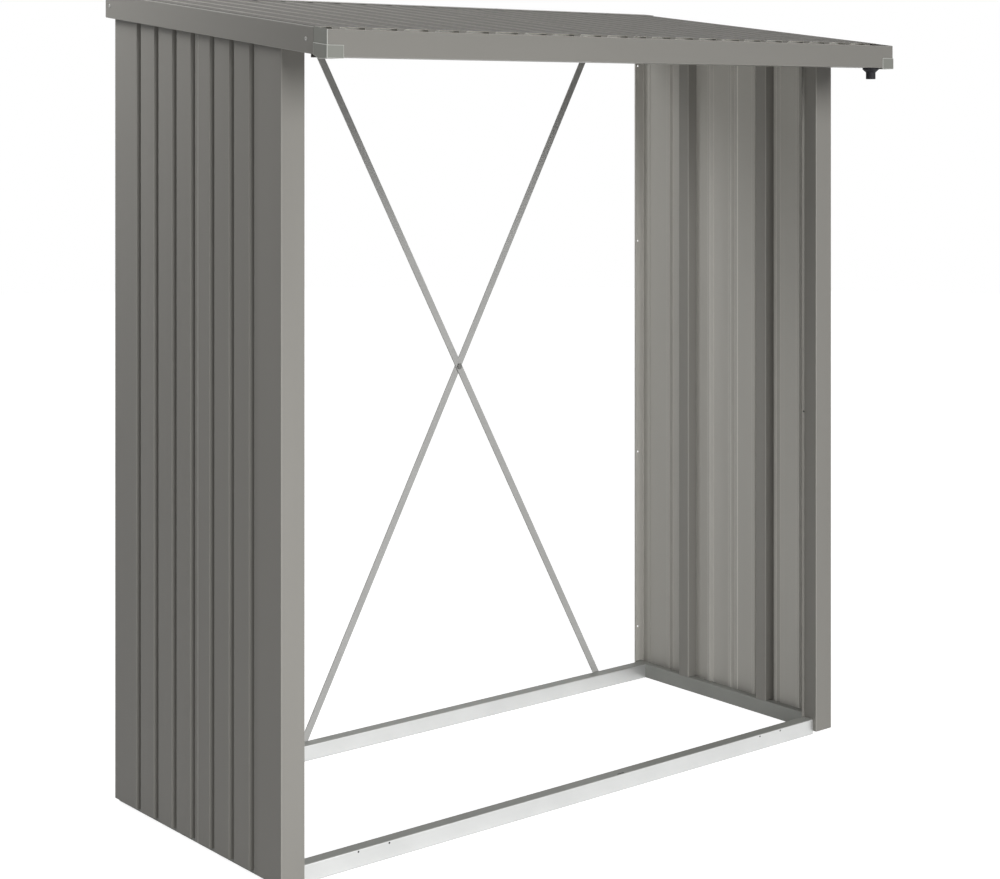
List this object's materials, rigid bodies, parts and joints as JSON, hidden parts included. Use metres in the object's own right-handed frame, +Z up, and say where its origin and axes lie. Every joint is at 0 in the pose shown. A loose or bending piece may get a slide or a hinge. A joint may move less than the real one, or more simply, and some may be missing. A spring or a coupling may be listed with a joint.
{
  "type": "log store",
  "caption": "Open-fronted log store of folded sheet steel with grooved side walls, a roof falling to a box gutter, a base frame of rails and a cross brace at the open back.",
  "frame": {"origin": "on the floor under the middle of the whole store's outline", "axes": "+X from left to right along the open front, +Y from the front to the back, +Z up"},
  "size_m": [1.829, 0.9596, 1.9913],
  "materials": {
    "painted_sheet": "satin grey coating",
    "painted_post": "satin grey coating",
    "painted_trim": "satin grey coating",
    "zinc_rail": "smooth zinc coating",
    "zinc_bar": "dull zinc coating",
    "moulded_cap": "matt grey",
    "black_plastic": "matt black",
    "bolt_steel": "dark zinc coating"
  },
  "bodies": {
    "root": {"front_rail": "zinc_rail", "rear_rail": "zinc_rail", "front_header": "zinc_rail", "rear_header": "zinc_rail", "left_rail": "zinc_rail", "right_rail": "zinc_rail", "left_top_rail": "zinc_rail", "right_top_rail": "zinc_rail", "left_front_post": "painted_post", "right_front_post": "painted_post", "left_rear_post": "painted_post", "right_rear_post": "painted_post", "left_wall_rear_sheet": "painted_sheet", "right_wall_rear_sheet": "painted_sheet", "left_wall_front_sheet": "painted_sheet", "right_wall_front_sheet": "painted_sheet", "left_rear_stud": "painted_post", "right_rear_stud": "painted_post", "left_front_stud": "painted_post", "right_front_stud": "painted_post", "roof_sheet_1": "painted_sheet", "roof_sheet_2": "painted_sheet", "roof_sheet_3": "painted_sheet", "roof_sheet_4": "painted_sheet", "roof_sheet_5": "painted_sheet", "roof_sheet_6": "painted_sheet", "left_verge": "painted_trim", "right_verge": "painted_trim", "rear_trim": "painted_trim", "gutter": "painted_trim", "left_gutter_cap": "moulded_cap", "right_gutter_cap": "moulded_cap", "drain_spout": "black_plastic", "brace_bar_falling": "zinc_bar", "brace_bar_rising": "zinc_bar", "brace_bolt": "bolt_steel"}
  },
  "joints": []
}
